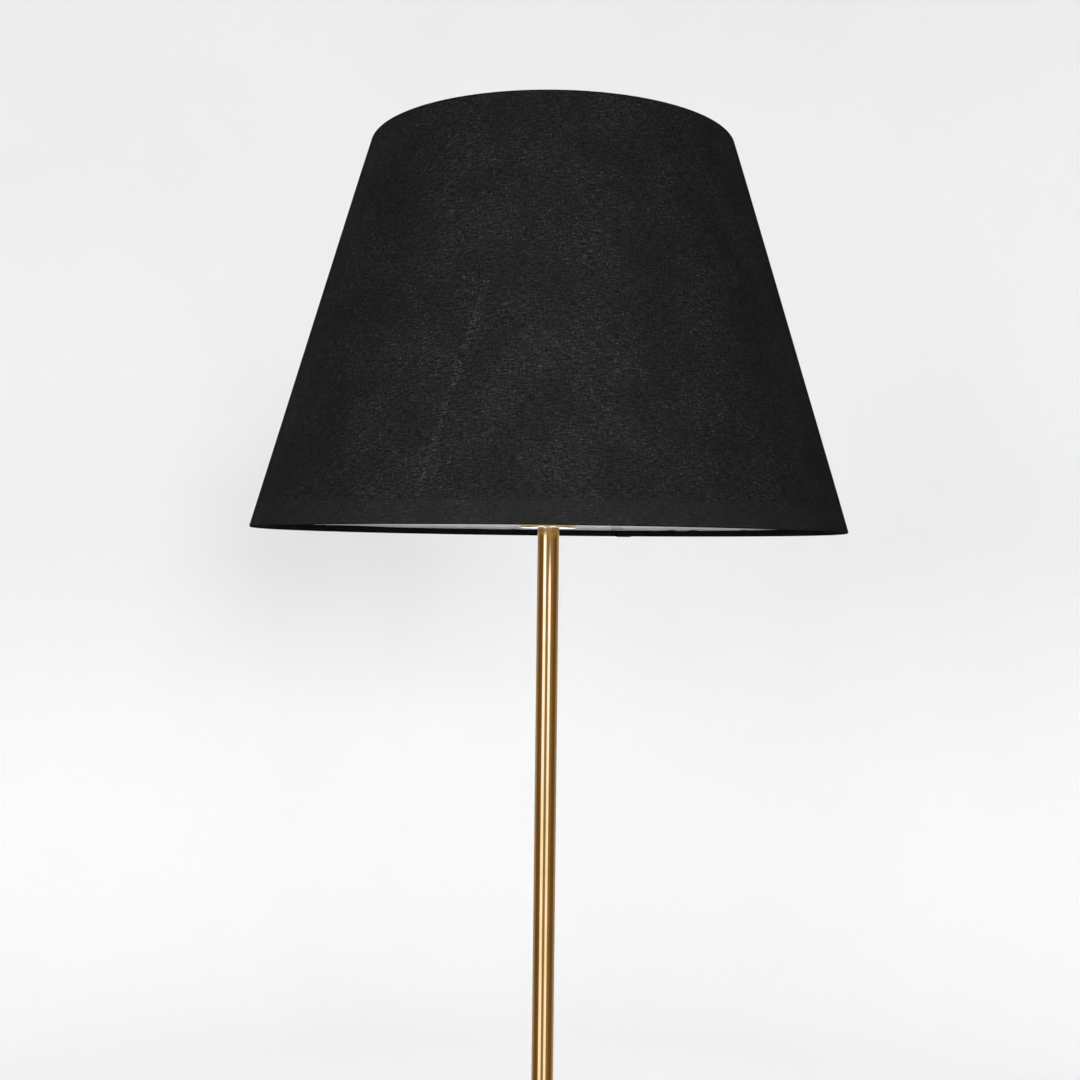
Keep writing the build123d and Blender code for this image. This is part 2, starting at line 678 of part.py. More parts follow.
def switch_key():
    """Fluted key that the hand turns."""
    blank = rod_to_front(KEY_R, KEY_Y, KEY_Y + KEY_LENGTH, KEY_Z)
    front_rim = blank.edges().filter_by(GeomType.CIRCLE).sort_by(Axis.Y)[0]
    key = fillet(front_rim, KEY_ROUND)
    for i in range(KEY_FLUTES):
        flute = rod_to_front(KEY_FLUTE_R, KEY_Y + KEY_LENGTH / 4, KEY_Y + KEY_LENGTH + 1, KEY_Z)
        centre = Vector(KEY_R + KEY_FLUTE_R / 3, 0, 0).rotate(Axis.Y, i * 360 / KEY_FLUTES)
        key -= Pos(centre) * flute
    return key - switch_shaft()


# ---------------------------------------------------------------- bulb


def bulb_tip():
    """Centre contact and its insulator at the bulb's foot."""
    top = BULB_Z + BULB_TIP_RISE
    ledge = BULB_Z + BULB_TIP_RISE / 3
    return lathe([(0, BULB_Z), (CONTACT_R, BULB_Z), (1.2 * CONTACT_R, ledge), (BULB_TIP_R, top), (0, top)])


def bulb_screw_cap():
    """Screw cap of the bulb."""
    low = BULB_Z + BULB_TIP_RISE
    shoulder = low + BULB_TIP_RISE / 2
    return lathe(
        [(0, low), (BULB_TIP_R, low), (BULB_CAP_R, shoulder), (BULB_CAP_R, BULB_COLLAR_Z), (0, BULB_COLLAR_Z)]
    )


def bulb_body():
    """Plastic body, flaring from the cap to the globe in an S curve."""
    reach = (BULB_SEAM_Z - BULB_COLLAR_Z) / 2.4
    low, high = (BULB_COLLAR_R, 0, BULB_COLLAR_Z), (BULB_SEAM_R, 0, BULB_SEAM_Z)
    side = Bezier(low, (BULB_COLLAR_R, 0, BULB_COLLAR_Z + reach), (BULB_SEAM_R, 0, BULB_SEAM_Z - reach), high)
    rest = Polyline(high, (0, 0, BULB_SEAM_Z), (0, 0, BULB_COLLAR_Z), low)
    return revolve(make_face(side + rest), Axis.Z)


def bulb_globe():
    """Thin white globe, open where it meets the bulb's body."""

    def dome(inset):
        sphere = Pos(0, 0, BULB_DOME_Z) * Sphere(BULB_R - inset)
        seam, middle = (BULB_SEAM_R - inset, BULB_SEAM_Z), (BULB_R - inset, BULB_DOME_Z)
        return sphere + lathe([(0, BULB_SEAM_Z), seam, middle, (0, BULB_DOME_Z)])

    return dome(0) - dome(GLOBE_WALL) - rod(BULB_R, BULB_Z, BULB_SEAM_Z)


# ---------------------------------------------------------------- all the pieces


def shade_parts():
    """The shade, its frame and the nut that holds it."""
    return {
        "shade_cover": shade_cover(),
        "shade_liner": shade_liner(),
        "shade_top_ring": shade_ring("top"),
        "shade_bottom_ring": shade_ring("bottom"),
        "shade_washer": shade_washer(),
        "shade_arms": shade_arms(),
        "finial": finial(),
    }


def harp_parts():
    """The harp and what holds its feet."""
    return {
        "harp": harp(),
        "harp_stud": harp_stud(),
        "harp_saddle": harp_saddle(),
        "harp_sleeve_left": harp_sleeve(-1),
        "harp_sleeve_right": harp_sleeve(1),
    }


def lamp_parts():
    """The lampholder, its switch and the bulb."""
    return {
        "holder_cap": holder_cap(),
        "holder_shell": holder_shell(),
        "holder_insulator": holder_insulator(),
        "holder_body": holder_body(),
        "holder_screw_shell": holder_screw_shell(),
        "holder_contact": holder_contact(),
        "switch_bushing": switch_bushing(),
        "switch_shaft": switch_shaft(),
        "switch_key": switch_key(),
        "bulb_tip": bulb_tip(),
        "bulb_screw_cap": bulb_screw_cap(),
        "bulb_body": bulb_body(),
        "bulb_globe": bulb_globe(),
    }


def stem_parts():
    """The stem's tubes, the threaded pieces that join them and the lead inside."""
    half_ring = JOINT_RING_T / 2
    return {
        "stem_cap_disc": stem_cap_disc(),
        "stem_upper_tube": stem_upper_tube(),
        "stem_lower_tube": stem_lower_tube(),
        "stem_joint_ring": stem_joint_ring(),
        "stem_joint_nipple": nipple(JOINT_Z - JOINT_NIPPLE_LENGTH / 2, JOINT_NIPPLE_LENGTH),
        "stem_joint_upper_plug": plug(JOINT_Z + half_ring),
        "stem_joint_lower_plug": plug(JOINT_Z - half_ring - PLUG_LENGTH),
        "stem_top_plug": plug(STEM_TOP_Z - PLUG_LENGTH),
        "stem_top_nipple": nipple(STEM_TOP_Z - PLUG_LENGTH, TOP_NIPPLE_LENGTH),
        "stem_base_plug": plug(HUB_SEAT_Z),
        "inner_lead": inner_lead(),
        "lead_cores": lead_cores(),
    }


def base_parts():
    """The hub, its fasteners and cord outlet, and the legs with their feet."""
    parts = {
        "hub": hub(),
        "hub_grub_screw": hub_grub_screw(),
        "base_nipple": base_nipple(),
        "base_washer": base_washer(),
        "base_nut": base_nut(),
        "cord_outlet": cord_outlet(),
        "leg_ferrules": leg_ferrules(),
        "leg_studs": leg_studs(),
    }
    for name, azimuth in LEG_AZIMUTHS.items():
        parts[f"leg_{name}"] = leg(azimuth)
        parts[f"foot_{name}"] = foot(azimuth)
    return parts


os.makedirs("parts", exist_ok=True)
for group in (shade_parts(), harp_parts(), lamp_parts(), stem_parts(), base_parts()):
    for node, shape in group.items():
        export_step(shape, f"parts/{node}.step")
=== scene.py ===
"""Looks of a tripod floor lamp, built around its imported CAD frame. Lengths are in metres.

The lamp faces -Y, +X is to its right and +Z is up. The CAD holds the shape of the hard pieces, which only get
a material here. The fabric, the lining's seam, the rolled threads and the ribbed feet are built as pieces.
"""

import math

import bmesh
import bpy
from mathutils import Matrix, Vector, noise


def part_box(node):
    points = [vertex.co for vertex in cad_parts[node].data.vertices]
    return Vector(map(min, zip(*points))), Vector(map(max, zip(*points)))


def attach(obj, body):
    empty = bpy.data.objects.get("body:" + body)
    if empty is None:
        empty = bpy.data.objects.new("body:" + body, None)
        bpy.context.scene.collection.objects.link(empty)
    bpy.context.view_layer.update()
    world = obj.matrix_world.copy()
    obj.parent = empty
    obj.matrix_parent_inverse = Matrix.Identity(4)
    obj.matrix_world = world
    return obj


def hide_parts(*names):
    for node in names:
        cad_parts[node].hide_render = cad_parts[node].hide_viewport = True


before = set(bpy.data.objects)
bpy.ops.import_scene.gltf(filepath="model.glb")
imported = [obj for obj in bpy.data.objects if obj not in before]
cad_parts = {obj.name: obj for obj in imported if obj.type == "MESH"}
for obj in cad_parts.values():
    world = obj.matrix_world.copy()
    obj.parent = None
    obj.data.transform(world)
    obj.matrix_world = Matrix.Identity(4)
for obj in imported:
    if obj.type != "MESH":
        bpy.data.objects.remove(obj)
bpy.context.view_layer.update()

TURN = 2 * math.pi
MM = 0.001

# ---------------------------------------------------------------- places taken from the frame, and the legs' given places


def middle(node):
    """Centre of a CAD node's box."""
    low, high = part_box(node)
    return (low + high) / 2


def reach(node):
    """Outer radius of a CAD node that is round about the Z axis."""
    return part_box(node)[1].x


SHADE_LOW, SHADE_HIGH = (corner.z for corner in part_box("shade_cover"))
SHADE_BOTTOM_R = reach("shade_cover")
RING_RISE = middle("shade_top_ring").z - middle("shade_bottom_ring").z
SHADE_SLOPE = (reach("shade_bottom_ring") - reach("shade_top_ring")) / RING_RISE
SHADE_TOP_R = SHADE_BOTTOM_R - SHADE_SLOPE * (SHADE_HIGH - SHADE_LOW)
SHADE_COS = math.cos(math.atan(SHADE_SLOPE))
SHADE_SIN = math.sin(math.atan(SHADE_SLOPE))

# Legs: their axes run from a seat under the hub to the floor.
LEG_SEAT_R = 17.5 * MM
LEG_SEAT_Z = 315.0 * MM
LEG_FLOOR_R = 204.0 * MM
LEG_SPLAY = math.atan((LEG_FLOOR_R - LEG_SEAT_R) / LEG_SEAT_Z)
LEG_AZIMUTHS = {"back": math.radians(90), "left": math.radians(210), "right": math.radians(330)}

# ---------------------------------------------------------------- camera

CAMERA_DISTANCE = 0.989
CAMERA_DROP = 17.5 * MM
CAMERA_SIDE = -6.4 * MM
CAMERA_PITCH = math.radians(0.647)
CAMERA_YAW = math.radians(-0.017)
CAMERA_ROLL = math.radians(0.66)
CAMERA_LENS_MM = 44.92
CAMERA_SENSOR_MM = 36.0


def make_camera():
    """Camera just below the shade's mouth, looking level past the stem, with the slight roll of the view."""
    data = bpy.data.cameras.new("camera")
    data.lens = CAMERA_LENS_MM
    data.sensor_width = CAMERA_SENSOR_MM
    camera = bpy.data.objects.new("camera", data)
    bpy.context.scene.collection.objects.link(camera)
    place = Vector((CAMERA_SIDE, -CAMERA_DISTANCE, SHADE_LOW - CAMERA_DROP))
    turn = Matrix.Rotation(CAMERA_YAW, 4, "Z") @ Matrix.Rotation(math.pi / 2 + CAMERA_PITCH, 4, "X")
    camera.matrix_world = Matrix.Translation(place) @ turn @ Matrix.Rotation(CAMERA_ROLL, 4, "Z")
    bpy.context.scene.camera = camera


# ---------------------------------------------------------------- mesh helpers


def mesh_object(name, mesh):
    """Object of a mesh, linked to the scene."""
    made = bpy.data.objects.new(name, mesh)
    bpy.context.scene.collection.objects.link(made)
    return made


def finish_mesh(name, bm):
    """Turns a bmesh into an object with outward normals and smooth faces."""
    bmesh.ops.recalc_face_normals(bm, faces=bm.faces)
    for face in bm.faces:
        face.smooth = True
    mesh = bpy.data.meshes.new(name)
    bm.to_mesh(mesh)
    bm.free()
    return mesh_object(name, mesh)


def join_rings(bm, rings, closed):
    """Quads between neighbouring rings of points, each ring closed on itself."""
    verts = [[bm.verts.new(point) for point in ring] for ring in rings]
    count = len(rings[0])
    for i in range(len(rings) if closed else len(rings) - 1):
        here, there = verts[i], verts[(i + 1) % len(verts)]
        for j in range(count):
            k = (j + 1) % count
            bm.faces.new((here[j], here[k], there[k], there[j]))
    return verts


def lathe(name, profile, columns, shape=None):
    """Closed piece turned about Z from a closed outline of (radius, height).

    A shape function may vary it: it takes an angle and a point, and gives the point's new radius and height.
    """
    bm = bmesh.new()
    rings = []
    for i in range(columns):
        angle = TURN * i / columns
        points = [shape(angle, r, z) if shape else (r, z) for r, z in profile]
        rings.append([Vector((r * math.cos(angle), r * math.sin(angle), z)) for r, z in points])
    join_rings(bm, rings, closed=True)
    bmesh.ops.remove_doubles(bm, verts=bm.verts, dist=1e-7)
    return finish_mesh(name, bm)


def arc(centre, radius, start, end, steps):
    """Points (x, y) on an arc between two angles in degrees."""
    angles = [math.radians(start + (end - start) * i / steps) for i in range(steps + 1)]
    return [(centre[0] + radius * math.cos(a), centre[1] + radius * math.sin(a)) for a in angles]


def smooth_step(x):
    """Eased 0 to 1."""
    x = min(1.0, max(0.0, x))
    return x * x * (3 - 2 * x)


# ---------------------------------------------------------------- material helpers


class Material:
    """Node material around one Principled shader, with short ways to add nodes."""

    def __init__(self, name, colour, roughness, metallic=0.0, **sockets):
        self.data = bpy.data.materials.new(name)
        self.data.use_nodes = True
        self.tree = self.data.node_tree
        self.shader = self.tree.nodes["Principled BSDF"]
        self.set("Base Color", (*colour, 1.0))
        self.set("Roughness", roughness)
        self.set("Metallic", metallic)
        for socket, value in sockets.items():
            self.set(socket.replace("_", " "), value)

    def set(self, socket, value):
        """Gives a shader socket a constant or a link."""
        if isinstance(value, bpy.types.NodeSocket):
            self.tree.links.new(value, self.shader.inputs[socket])
        else:
            self.shader.inputs[socket].default_value = value

    def node(self, kind, inputs=None, **settings):
        """Adds a node, with its settings and its inputs as constants or links."""
        made = self.tree.nodes.new("ShaderNode" + kind)
        for key, value in settings.items():
            setattr(made, key, value)
        for key, value in (inputs or {}).items():
            if isinstance(value, bpy.types.NodeSocket):
                self.tree.links.new(value, made.inputs[key])
            else:
                made.inputs[key].default_value = value
        return made

    def place(self):
        """The object's own coordinates, in metres."""
        return self.node("TexCoord").outputs["Object"]

    def flat(self):
        """The cloth's flat-pattern coordinates, in metres."""
        return self.node("UVMap", uv_map="flat").outputs["UV"]

    def stretched(self, vector, scale, rotation=(0, 0, 0)):
        """Coordinates turned, and then scaled along each axis."""
        inputs = {"Vector": vector, "Rotation": rotation}
        lying = self.node("VectorRotate", inputs, rotation_type="EULER_XYZ").outputs[0]
        return self.node("VectorMath", {0: lying, 1: scale}, operation="MULTIPLY").outputs[0]

    def length(self, vector):
        """Length of a vector."""
        return self.node("VectorMath", {0: vector}, operation="LENGTH").outputs["Value"]

    def along(self, vector, direction):
        """How far a vector reaches in a direction of unit length."""
        inputs = {0: vector, 1: (*direction, 0)}
        return self.node("VectorMath", inputs, operation="DOT_PRODUCT").outputs["Value"]

    def radius_and_height(self):
        """Distance from the Z axis and height of the object's own coordinates."""
        axes = self.node("SeparateXYZ", {0: self.place()}).outputs
        level = self.node("CombineXYZ", {0: axes[0], 1: axes[1]}).outputs[0]
        return self.length(level), axes[2]

    def turned(self, scale):
        """Coordinates of radius and height about Z, for marks that run round a turned piece."""
        radius, height = self.radius_and_height()
        both = self.node("CombineXYZ", {0: radius, 1: height}).outputs[0]
        return self.node("VectorMath", {0: both, 1: (scale, scale, 0)}, operation="MULTIPLY").outputs[0]

    def noise(self, vector, scale=1.0, detail=2.0, roughness=0.5):
        """Noise between 0 and 1, mostly near a half."""
        inputs = {"Vector": vector, "Scale": scale, "Detail": detail, "Roughness": roughness}
        return self.node("TexNoise", inputs).outputs[0]

    def span(self, value, low, high, out_low=0.0, out_high=1.0):
        """Maps a range of values to another, eased and clamped."""
        inputs = {"Value": value, "From Min": low, "From Max": high, "To Min": out_low, "To Max": out_high}
        return self.node("MapRange", inputs, interpolation_type="SMOOTHSTEP").outputs[0]

    def maths(self, operation, a, b=0.0):
        """One Math node."""
        return self.node("Math", {0: a, 1: b}, operation=operation).outputs[0]

    def blend(self, share, a, b):
        """Mixes two colours."""
        made = self.node("Mix", data_type="RGBA")
        sockets = (made.inputs[0], made.inputs[6], made.inputs[7])
        for socket, value in zip(sockets, (share, a, b)):
            if isinstance(value, bpy.types.NodeSocket):
                self.tree.links.new(value, socket)
            elif isinstance(value, tuple):
                socket.default_value = (*value, 1.0)
            else:
                socket.default_value = value
        return made.outputs[2]

    def bump(self, height, distance, strength=1.0, normal=None):
        """Bump from a height between 0 and 1, over a distance in metres. Bumps can be chained."""
        inputs = {"Height": height, "Distance": distance, "Strength": strength}
        if normal:
            inputs["Normal"] = normal
        return self.node("Bump", inputs).outputs[0]


# ---------------------------------------------------------------- metals

POLISHED_BRASS = (0.88, 0.645, 0.32)
MIRROR_BRASS = (0.93, 0.78, 0.52)
SATIN_BRASS = (0.80, 0.58, 0.29)
PLAIN_BRASS = (0.74, 0.55, 0.28)
TARNISH_TINT = (1.0, 1.6, 2.6)

# Scale of a noise along each axis, per metre.
LINES_ALONG_Z = (3500.0, 3500.0, 14.0)
DRAWN_WIRE = (1800.0, 1800.0, 90.0)
PLATED_WIRE = (900.0, 900.0, 900.0)


def smudge(m, colour, roughness, scale, tarnish):
    """Soft smudges that dull a metal's colour and its polish a little."""
    smudges = m.noise(m.place(), scale, detail=4.0, roughness=0.6)
    dull = tuple(c * (1 - tarnish * tint) for c, tint in zip(colour, TARNISH_TINT))
    m.set("Base Color", m.blend(m.span(smudges, 0.42, 0.68), colour, dull))
    m.set("Roughness", m.span(smudges, 0.3, 0.75, roughness * 0.85, roughness * 1.3))


def brushed_metal(name, colour, roughness, grain, rotation=(0, 0, 0), depth=0.4e-6, tarnish=0.06):
    """Metal with fine lines along the piece."""
    m = Material(name, colour, roughness, metallic=1.0)
    smudge(m, colour, roughness, 38.0, tarnish)
    lines = m.noise(m.stretched(m.place(), grain, rotation), detail=3.0)
    m.set("Normal", m.bump(lines, depth))
    return m.data


def turned_metal(name, colour, roughness, lines=2600.0, depth=0.6e-6, tarnish=0.06):
    """Metal with fine marks that run round the piece, from the lathe."""
    m = Material(name, colour, roughness, metallic=1.0)
    smudge(m, colour, roughness, 70.0, tarnish)
    marks = m.noise(m.turned(lines), detail=3.0, roughness=0.6)
    m.set("Normal", m.bump(marks, depth))
    return m.data


def stem_brass():
    """Polished brass tube with faint lengthwise lines."""
    return brushed_metal("stem_brass", POLISHED_BRASS, 0.07, LINES_ALONG_Z)


def leg_brass(name):
    """The stem's brass, with its lines along a leg."""
    lay = Matrix.Rotation(LEG_SPLAY, 3, "Y") @ Matrix.Rotation(-LEG_AZIMUTHS[name], 3, "Z")
    rotation = tuple(lay.to_euler("XYZ"))
    return brushed_metal(f"leg_brass_{name}", POLISHED_BRASS, 0.15, LINES_ALONG_Z, rotation)


def base_brass():
    """Polished turned brass of the hub, the ferrules and the joint ring."""
    return turned_metal("base_brass", POLISHED_BRASS, 0.17)


def disc_brass():
    """Mirror-polished brass of the cap disc."""
    return turned_metal("disc_brass", MIRROR_BRASS, 0.05, depth=0.2e-6)


def harp_brass():
    """Satin brass of the harp and its fittings."""
    return brushed_metal("harp_brass", SATIN_BRASS, 0.28, DRAWN_WIRE, depth=1e-6)


def holder_brass():
    """Satin brass of the lampholder, with turning marks."""
    return turned_metal("holder_brass", SATIN_BRASS, 0.27, lines=1800.0, depth=1e-6)


def inner_brass():
    """Plain machined brass of the nipples and plugs."""
    return turned_metal("inner_brass", PLAIN_BRASS, 0.36, lines=1400.0, depth=3e-6, tarnish=0.12)


def shade_wire():
    """Brass-plated wire of the shade's rings and arms."""
    return brushed_metal("shade_wire", PLAIN_BRASS, 0.30, PLATED_WIRE, depth=1.5e-6, tarnish=0.1)


def zinc_steel():
    """Zinc-plated steel, with cloudy passivation."""
    m = Material("zinc_steel", (0.62, 0.62, 0.60), 0.38, metallic=1.0)
    place = m.place()
    clouds = m.noise(place, 420.0, detail=4.0, roughness=0.65)
    m.set("Base Color", m.blend(m.span(clouds, 0.35, 0.7), (0.66, 0.66, 0.65), (0.55, 0.54, 0.49)))
    m.set("Roughness", m.span(clouds, 0.3, 0.7, 0.3, 0.48))
    m.set("Normal", m.bump(m.noise(place, 2400.0), 3e-6))
    return m.data


def bulb_metal():
    """Rolled nickel-plated cap, scuffed along its thread."""
    m = Material("bulb_metal", (0.74, 0.74, 0.73), 0.24, metallic=1.0)
    scuffs = m.noise(m.turned(900.0), detail=4.0, roughness=0.7)
    m.set("Base Color", m.blend(m.span(scuffs, 0.4, 0.7), (0.77, 0.77, 0.76), (0.60, 0.59, 0.56)))
    m.set("Roughness", m.span(scuffs, 0.35, 0.7, 0.2, 0.42))
    m.set("Normal", m.bump(scuffs, 4e-6))
    return m.data


# ---------------------------------------------------------------- plastics, rubber and lining


def moulded(name, light, dark, roughness, texture=1500.0, depth=6e-6):
    """Moulded resin with a faint spark-eroded skin and slight flow marks."""
    m = Material(name, light, roughness)
    place = m.place()
    skin = m.noise(place, texture, detail=3.0, roughness=0.6)
    flow = m.noise(place, 90.0, detail=3.0)
    m.set("Base Color", m.blend(m.span(flow, 0.35, 0.65), dark, light))
    m.set("Roughness", m.span(skin, 0.3, 0.7, roughness * 0.85, roughness * 1.2))
    m.set("Normal", m.bump(skin, depth))
    return m.data


def moulded_black():
    """Black resin of the key, the outlet and the lampholder's body."""
    return moulded("moulded_black", (0.034, 0.034, 0.036), (0.024, 0.024, 0.026), 0.36)


def bulb_shell():
    """White moulded body of the bulb."""
    return moulded("bulb_shell", (0.90, 0.90, 0.88), (0.86, 0.86, 0.83), 0.42, depth=4e-6)


def cord_sheath():
    """Black flexible sheath of the lead inside the stem."""
    return moulded("cord_sheath", (0.055, 0.055, 0.055), (0.04, 0.04, 0.04), 0.5)


def core_insulation():
    """Brown insulation of the lead's cores."""
    return moulded("core_insulation", (0.36, 0.21, 0.11), (0.30, 0.17, 0.09), 0.45)


def foot_rubber():
    """Matt black rubber with patches of fine dust."""
    m = Material("foot_rubber", (0.025, 0.025, 0.025), 0.82, Specular_IOR_Level=0.3)
    place = m.place()
    dust = m.noise(place, 260.0, detail=5.0, roughness=0.7)
    m.set("Base Color", m.blend(m.span(dust, 0.5, 0.75), (0.022, 0.022, 0.022), (0.055, 0.052, 0.048)))
    m.set("Normal", m.bump(m.noise(place, 2200.0, detail=3.0), 12e-6))
    return m.data


def insulator():
    """Grey-brown fibre sleeve."""
    m = Material("insulator", (0.30, 0.24, 0.18), 0.75)
    fibres = m.noise(m.stretched(m.place(), (500.0, 500.0, 2200.0)), detail=5.0, roughness=0.7)
    m.set("Base Color", m.blend(m.span(fibres, 0.35, 0.65), (0.24, 0.19, 0.14), (0.36, 0.30, 0.23)))
    m.set("Normal", m.bump(fibres, 25e-6))
    return m.data


def bulb_opal():
    """Opal globe, smooth outside, with a slight unevenness in the milk."""
    m = Material("bulb_opal", (0.93, 0.92, 0.88), 0.22, Subsurface_Weight=0.35, Subsurface_Scale=0.004)
    place = m.place()
    milk = m.noise(place, 55.0, detail=3.0)
    m.set("Base Color", m.blend(m.span(milk, 0.3, 0.7), (0.94, 0.93, 0.90), (0.90, 0.89, 0.85)))
    m.set("Normal", m.bump(m.noise(place, 120.0), 12e-6))
    return m.data


def shade_lining():
    """White laminated lining, faintly ribbed along its height and slightly glossy."""
    m = Material("shade_lining", (0.86, 0.85, 0.82), 0.46)
    place = m.place()
    ribs = m.noise(m.stretched(place, (900.0, 900.0, 120.0)))
    clouds = m.noise(place, 16.0, detail=4.0, roughness=0.6)
    m.set("Base Color", m.blend(m.span(clouds, 0.35, 0.7), (0.85, 0.85, 0.84), (0.80, 0.80, 0.785)))
    m.set("Roughness", m.span(clouds, 0.3, 0.7, 0.4, 0.52))
    m.set("Normal", m.bump(ribs, 20e-6))
    return m.data


# ---------------------------------------------------------------- fabric

THREAD = 0.56 * MM
HEM_BAND = 17.0 * MM

# A full turn round the cone takes this share of a full turn on the flat cloth.
CONE_FACTOR = SHADE_SIN

# A painted highlight along a soft crease, which the shape doesn't have: the angle from the front and the
# height of its upper and its lower end.
CREASE_TOP = (math.radians(-11.7), 1.426)
CREASE_END = (math.radians(-22.7), 1.253)
CREASE_HALF_WIDTH = 3.5 * MM
CREASE_RUN_OUT = 8.0 * MM
CREASE_FADE_LOW = 20.0 * MM
CREASE_FADE_HIGH = 60.0 * MM

# Colours of the cloth: between its threads, of a thread, of a worn fleck and of the painted highlight along
# the crease, and where the weave hardly shows.
CLOTH_DARK = (0.0028, 0.0027, 0.0027)
CLOTH_LIGHT = (0.0095, 0.0093, 0.0092)
CLOTH_BRIGHT = (0.050, 0.049, 0.048)
CLOTH_PLAIN = (0.0072, 0.0071, 0.0070)

# Noise scales on the flat cloth, per metre across and along it.
WEFT_THREADS = (190.0, 1300.0, 1.0)
WARP_THREADS = (1300.0, 190.0, 1.0)
FLECKS = (620.0, 760.0, 1.0)
SLUBS = (95.0, 1150.0, 1.0)


def flat_point(angle, slant):
    """Point of the flat cloth, for an angle from the front and a distance from the cone's apex."""
    return (slant * math.sin(angle * CONE_FACTOR), slant * math.cos(angle * CONE_FACTOR))


def shade_radius(z):
    """Radius of the cone's outer face."""
    return SHADE_BOTTOM_R - SHADE_SLOPE * (z - SHADE_LOW)


def weave_height(m, flat):
    """Plain weave: threads one way show where the others pass under them."""
    # Blender's wave texture has one band in every TURN / 20 of its scaled vector.
    inputs = {"Vector": flat, "Scale": TURN / (20 * THREAD), "Phase Offset": -math.pi / 2}
    waves = [m.node("TexWave", inputs, bands_direction=axis).outputs["Fac"] for axis in "XY"]
    over = m.node("TexChecker", {"Vector": flat, "Scale": 1 / THREAD}).outputs["Fac"]
    woven = m.node("Mix", {0: over, 2: waves[0], 3: waves[1]}).outputs[0]
    wobble = m.noise(flat, 420.0)
    return m.maths("MULTIPLY", woven, m.span(wobble, 0.2, 0.8, 0.75, 1.0))


def crease_highlight(m, flat):
    """Painted highlight where the cloth was folded, as a soft broken lighter line on its flat pattern."""
    top, end = (Vector(flat_point(a, shade_radius(z) / CONE_FACTOR)) for a, z in (CREASE_TOP, CREASE_END))
    along = (top - end).normalized()
    across = Vector((along.y, -along.x))
    away = m.maths("ABSOLUTE", m.maths("SUBTRACT", m.along(flat, across), end.dot(across)))
    line = m.span(away, 0.0, CREASE_HALF_WIDTH, 1.0, 0.0)
    run, low, high = m.along(flat, along), end.dot(along), top.dot(along)
    rise = m.span(run, low - CREASE_RUN_OUT, low + CREASE_FADE_LOW)
    fall = m.span(run, high, high - CREASE_FADE_HIGH)
    broken = m.span(m.noise(flat, 90.0, detail=3.0), 0.35, 0.65, 0.3, 1.0)
    return m.maths("MULTIPLY", m.maths("MULTIPLY", line, m.maths("MULTIPLY", rise, fall)), broken)


def hem_share(m, flat):
    """The smoother band along the lower hem, where the weave shows less."""
    edge = SHADE_BOTTOM_R / CONE_FACTOR - HEM_BAND
    return m.span(m.length(flat), edge - MM, edge + 3 * MM, 0.0, 0.45)


def weighted(m, first, share, second):
    """Two values mixed by the first one's share."""
    return m.maths("ADD", m.maths("MULTIPLY", first, share), m.maths("MULTIPLY", second, 1 - share))


def cloth_colour(m, flat, threads):
    """Colour of the cloth: threads, lighter flecks and slubs, cloudy wear, a painted highlight along the
    crease and the plainer hem.
    """
    flecks = m.noise(m.stretched(flat, FLECKS), detail=3.0, roughness=0.75)
    speckle = weighted(m, threads, 0.55, flecks)
    slubs = m.span(m.noise(m.stretched(flat, SLUBS)), 0.60, 0.74, 0.0, 0.22)
    mottle = m.noise(flat, 24.0, detail=5.0, roughness=0.62)
    raised = m.maths("MAXIMUM", m.span(speckle, 0.56, 0.68), slubs)
    worn = m.maths("MULTIPLY", raised, m.span(mottle, 0.36, 0.62, 0.35, 1.0))
    # Painted highlight along the crease, over the lighter threads.
    painted_crease_highlight = m.maths("MULTIPLY", crease_highlight(m, flat), m.span(speckle, 0.49, 0.58, 0.0, 0.4))
    colour = m.blend(m.span(speckle, 0.42, 0.58), CLOTH_DARK, CLOTH_LIGHT)
    colour = m.blend(worn, colour, CLOTH_BRIGHT)
    colour = m.blend(painted_crease_highlight, colour, CLOTH_BRIGHT)
    colour = m.blend(m.span(mottle, 0.35, 0.65, 0.34, 0.0), colour, CLOTH_DARK)
    return m.blend(hem_share(m, flat), colour, CLOTH_PLAIN)


def shade_fabric():
    """Black plain-weave cotton with a faint fuzz at its edges."""
    m = Material("shade_fabric", CLOTH_PLAIN, 0.95, Specular_IOR_Level=0.0)
    m.set("Sheen Weight", 0.012)
    m.set("Sheen Roughness", 0.15)
    m.set("Sheen Tint", (0.75, 0.75, 0.78, 1.0))
    flat = m.flat()
    weft = m.noise(m.stretched(flat, WEFT_THREADS), roughness=0.6)
    warp = m.noise(m.stretched(flat, WARP_THREADS), roughness=0.6)
    threads = weighted(m, weft, 0.62, warp)
    m.set("Base Color", cloth_colour(m, flat, threads))
    uneven = m.bump(threads, 110e-6, 0.8)
    m.set("Normal", m.bump(weave_height(m, flat), 130e-6, 0.8, uneven))
    return m.data


# ---------------------------------------------------------------- the fabric cover

COVER_T = 0.8 * MM
HEM_HEIGHT = 5.0 * MM
HEM_BACK_DEPTH = 5.6 * MM
FOLD_R = 1.2 * MM
HEM_FOLD_R = 1.8 * MM
SEAM_ANGLE = math.radians(163)
LAP = 9.0 * MM
LAP_RISE = 0.5 * MM
LAP_EDGE = 2.0 * MM
COLUMNS = 320
FACE_ROWS = 64
FINE_STEP = 0.5 * MM
SEAM_STEPS = 24
ARM_STEPS = 10

# The spider's arms lie over the legs. The upper hem is cut away round them.
ARM_ANGLES = [azimuth + math.pi / 2 for azimuth in LEG_AZIMUTHS.values()]
ARM_NOTCH = 2.6 * MM
ARM_NOTCH_TOP = 1.1 * MM

# Unevenness of the hems' edges, and how often it comes round. Lumps show where their noise is over a limit.
HEM_WAVE = 0.5 * MM
HEM_WAVES = 3.1
HEM_LUMP = 1.6 * MM
HEM_LUMPS = 17.0
LUMP_LIMIT = 0.25
LOW_HEM_SEED = 0.0
HIGH_HEM_SEED = 7.0

